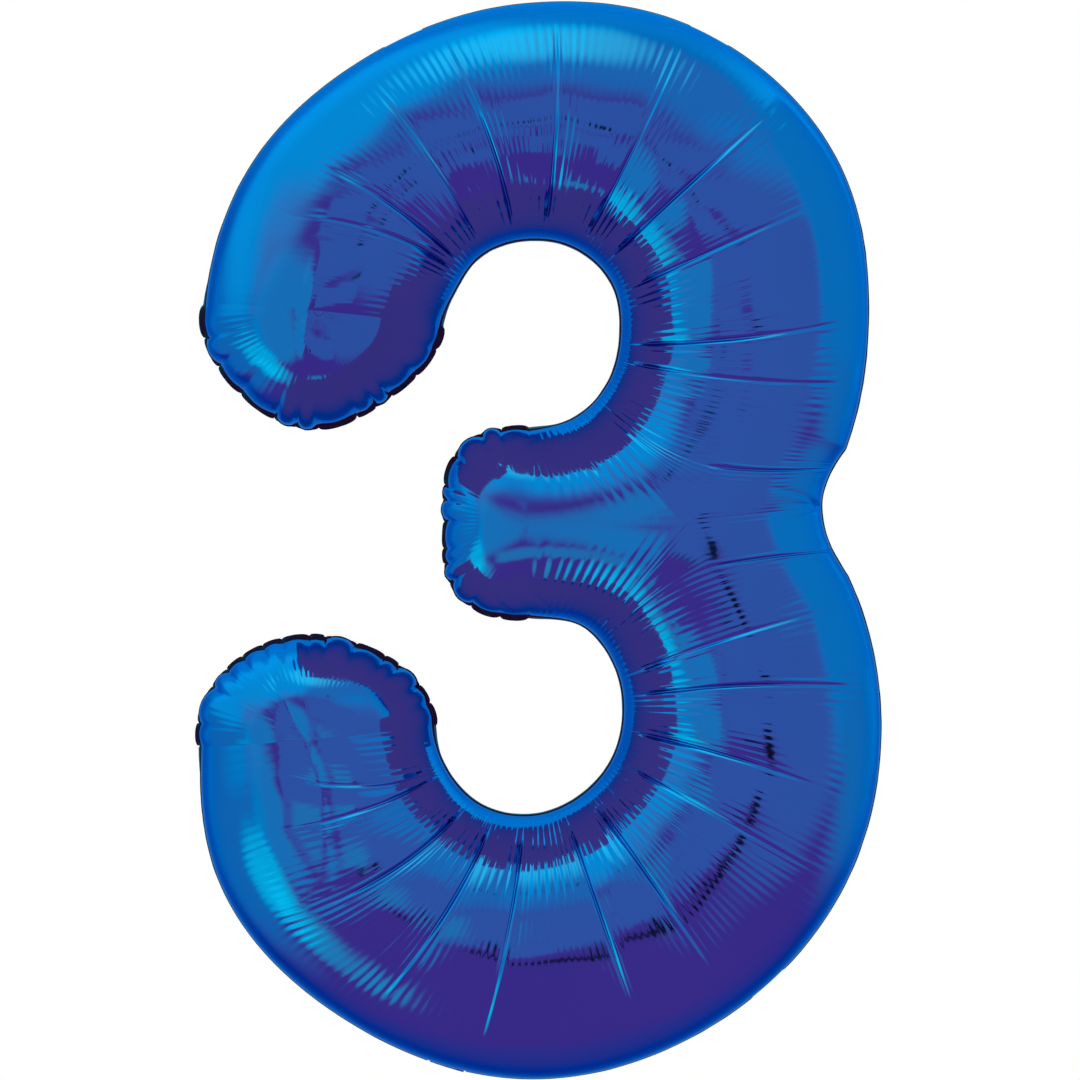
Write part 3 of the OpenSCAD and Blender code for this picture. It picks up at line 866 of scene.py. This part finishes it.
def lobe(tilt, turn, inner, outer, color):
    """A soft round light of the studio: full within the inner angle of its direction, gone past the outer.
    A negative amount takes that colour away from the room's own violet."""
    dot = add_node(tree, "VectorMath", {0: direction, 1: Vector(toward(tilt, turn)).normalized()},
                   operation="DOT_PRODUCT")
    ramp = add_node(tree, "MapRange", {"From Min": math.cos(math.radians(outer)),
                                       "From Max": math.cos(math.radians(inner)),
                                       "Value": dot.outputs["Value"]}, interpolation_type="SMOOTHERSTEP")
    shade = add_node(tree, "VectorMath", {0: color, "Scale": ramp.outputs["Result"]}, operation="SCALE")
    return shade.outputs["Vector"]


def light_sum(lights, base):
    """Adds the lights to a base colour."""
    total = base
    for light in lights:
        total = add_node(tree, "VectorMath", {0: total, 1: light}, operation="ADD").outputs["Vector"]
    return total


LOBES = [
    lobe(95, 90, 45, 80, (-0.46, 0.42, 0.34)),     # wide light overhead
    lobe(80, 94, 4, 30, (0.19, 0.95, 0.45)),       # its bright middle
    lobe(88, 135, 30, 52, (-0.19, 0.50, 0.38)),    # overhead on the left
    lobe(46, 188, 12, 29, (-0.50, 0.56, 0.40)),    # in front on the left
    lobe(100, 190, 20, 48, (-0.56, 0.42, 0.34)),   # left-hand side
    lobe(75, 208, 4, 24, (-0.37, 1.05, 0.52)),     # low on the left
    lobe(50, 8, 22, 44, (-0.22, 0.24, 0.20)),      # in front on the right
    lobe(112, 14, 20, 50, (-0.56, 0.45, 0.34)),    # right-hand side
    lobe(72, 226, 4, 20, (-0.43, 0.70, 0.40)),     # low in front on the left
    lobe(125, -85, 10, 42, (-0.26, 0.02, 0.02)),   # below and behind
    lobe(155, 90, 34, 72, (-0.56, 0.24, 0.22)),    # behind
]
VIOLET_ROOM, DARKEST = (0.65, 0.10, 0.42), (0.02, 0.06, 0.15)
room = add_node(tree, "VectorMath", {0: light_sum(LOBES, VIOLET_ROOM), 1: DARKEST}, operation="MAXIMUM")
sky = add_node(tree, "Background", {"Color": room.outputs["Vector"]})
white = add_node(tree, "Background", {"Color": (1, 1, 1, 1)})
path = add_node(tree, "LightPath")
pick = add_node(tree, "MixShader", {"Fac": path.outputs["Is Camera Ray"], 1: sky.outputs["Background"],
                                    2: white.outputs["Background"]})
add_node(tree, "OutputWorld", {"Surface": pick.outputs["Shader"]})
bpy.context.scene.view_settings.view_transform = "Standard"


def studio_piece(name, points, faces, mat):
    """A piece of the studio and not of the object. The camera doesn't see it, only reflections do."""
    mesh = bpy.data.meshes.new(name)
    mesh.from_pydata(points, [], faces)
    mesh.materials.append(mat)
    obj = bpy.data.objects.new(name, mesh)
    bpy.context.scene.collection.objects.link(obj)
    obj.visible_camera = obj.visible_diffuse = obj.visible_shadow = False
    return mesh


def card(name, corners, mat):
    """A flat card, with the UV map that its glow fades by."""
    mesh = studio_piece(name, corners, [(0, 1, 2, 3)], mat)
    mesh.uv_layers.new(name="UVMap")
    for loop, uv in zip(mesh.uv_layers[0].data, ((0, 0), (1, 0), (1, 1), (0, 1))):
        loop.uv = uv


def upright(x, y, z):
    """Corners of an upright card at depth y, between two values of x and two of z."""
    return [(x[0], y, z[0]), (x[1], y, z[0]), (x[1], y, z[1]), (x[0], y, z[1])]


def empty_material(name):
    """A material with no nodes yet, and its node tree."""
    mat = bpy.data.materials.new(name)
    mat.use_nodes = True
    mat.node_tree.nodes.clear()
    return mat, mat.node_tree


def glow(name, color, soft_u, soft_v):
    """Light from a card that fades out towards its edges."""
    mat, tree = empty_material(name)
    split = add_node(tree, "SeparateXYZ", {"Vector": add_node(tree, "UVMap", uv_map="UVMap").outputs["UV"]})
    fades = []
    for axis, soft in (("X", soft_u), ("Y", soft_v)):
        fold = add_node(tree, "Math", {0: split.outputs[axis], 1: 0.5}, operation="PINGPONG")
        ramp = add_node(tree, "MapRange", {"From Max": soft, "Value": fold.outputs[0]},
                        interpolation_type="SMOOTHSTEP")
        fades.append(ramp.outputs["Result"])
    both = add_node(tree, "Math", {0: fades[0], 1: fades[1]}, operation="MULTIPLY")
    clear, emit = add_node(tree, "BsdfTransparent"), add_node(tree, "Emission", {"Color": (*color, 1)})
    mixed = add_node(tree, "MixShader", {"Fac": both.outputs[0], 1: clear.outputs["BSDF"],
                                         2: emit.outputs["Emission"]})
    add_node(tree, "OutputMaterial", {"Surface": mixed.outputs["Shader"]})
    return mat


def emission(name, color):
    """Light of one even colour."""
    mat, tree = empty_material(name)
    emit = add_node(tree, "Emission", {"Color": (*color, 1)})
    add_node(tree, "OutputMaterial", {"Surface": emit.outputs["Emission"]})
    return mat


ROYAL = (0.43, 0.34, 0.63)
card("front_card", upright((-1.7, 2.6), -3.2, (-0.50, 1.45)), glow("front_glow", ROYAL, 0.06, 0.10))
card("low_front_card", upright((-1.7, 0.30), -3.25, (-1.15, -0.42)),
     glow("low_front_glow", ROYAL, 0.06, 0.10))
card("near_front_card", upright((-0.22, 0.34), -1.0, (-0.74, -0.32)),
     glow("near_front_glow", ROYAL, 0.08, 0.16))
card("near_right_card", upright((0.28, 0.64), -1.0, (-0.53, -0.16)),
     glow("near_right_glow", ROYAL, 0.08, 0.08))
card("near_left_card", upright((-0.26, -0.06), -0.30, (-0.66, -0.49)),
     glow("near_left_glow", (0.22, 0.62, 0.74), 0.30, 0.30))
card("right_card", [(1.3, -0.55, -0.38), (1.3, 1.5, -0.38), (1.3, 1.5, 1.2), (1.3, -0.55, 1.2)],
     glow("right_glow", (0.04, 0.62, 0.84), 0.10, 0.08))
dark, _ = principled("dark_stand", (0.002, 0.002, 0.003), Roughness=0.9)
card("dark_stand", upright((0.80, 1.14), -3, (-1.5, -0.62)), dark)
card("dark_bar", upright((-0.35, 0.86), -3, (-1.5, -1.34)), dark)
card("dark_mark", upright((-0.047, 0.002), -0.52, (-0.078, -0.048)), dark)

violet = emission("violet_glow", (0.60, 0.12, 0.36))
CORE_RADIUS, CORE_FRONT, CORE_REAR, CORE_SIDES = 0.030, -0.098, 0.012, 24
STRIP_FRONT, STRIP_REAR, STRIP_COLUMNS = -0.062, 0.016, 14
STRIP_OFF = 20.0    # mm from a rounded end out to its strip


def wall(name, line, front, rear, closed):
    """A violet wall along a line of (x, z) points, from its front edge back to its rear edge."""
    n = len(line)
    points = [(x, front, z) for x, z in line] + [(x, rear, z) for x, z in line]
    pairs = [(k, (k + 1) % n) for k in range(n if closed else n - 1)]
    studio_piece(name, points, [(a, b, n + b, n + a) for a, b in pairs], violet)


def core(name, centre):
    """A violet core of light in a bay of the digit."""
    x, z = (centre - HANG) / 1000
    turns = [2 * math.pi * k / CORE_SIDES for k in range(CORE_SIDES)]
    ring = [(x + CORE_RADIUS * math.cos(a), z + CORE_RADIUS * math.sin(a)) for a in turns]
    wall(name, ring, CORE_FRONT, CORE_REAR, closed=True)


def glow_strip(name, end, first, last, front=STRIP_FRONT):
    """A violet strip of light that follows a rounded end a little outside it."""
    a = np.linspace(first, last, STRIP_COLUMNS)
    line = (end_edge(end, a) + along(ENDS[end][1] - a) * STRIP_OFF - HANG) / 1000
    wall(name, line, front, STRIP_REAR, closed=False)


core("upper_core", UPPER["bay"])
core("lower_core", LOWER["bay"])
glow_strip("upper_end_strip", "upper", -6, 112, front=-0.105)
glow_strip("lower_end_strip", "lower", 84, 186)
glow_strip("arm_top_strip", "arm", 128, 186)
glow_strip("arm_base_strip", "arm", -6, 52)

lamp = bpy.data.lights.new("key", "AREA")
lamp.size, lamp.energy = 1.4, 12
key_light = bpy.data.objects.new("key", lamp)
key_light.location = (-1.3, -1.6, 1.5)
key_light.rotation_euler = (AIM - key_light.location).to_track_quat("-Z", "Y").to_euler()
key_light.visible_glossy = False
bpy.context.scene.collection.objects.link(key_light)

# ---------------------------------------------------------------- floor
FLOOR_Z, FLOOR_RADIUS, FLOOR_SIDES = -1.25, 5.0, 96
mesh = bpy.data.meshes.new("floor")
turns = [2 * math.pi * k / FLOOR_SIDES for k in range(FLOOR_SIDES)]
mesh.from_pydata([(FLOOR_RADIUS * math.cos(a), FLOOR_RADIUS * math.sin(a), FLOOR_Z) for a in turns], [],
                 [list(range(FLOOR_SIDES))])
mesh.materials.append(emission("pale_floor", (0.95, 0.95, 0.96)))
ground = bpy.data.objects.new("floor", mesh)
bpy.context.scene.collection.objects.link(ground)
ground.visible_glossy = ground.visible_diffuse = False
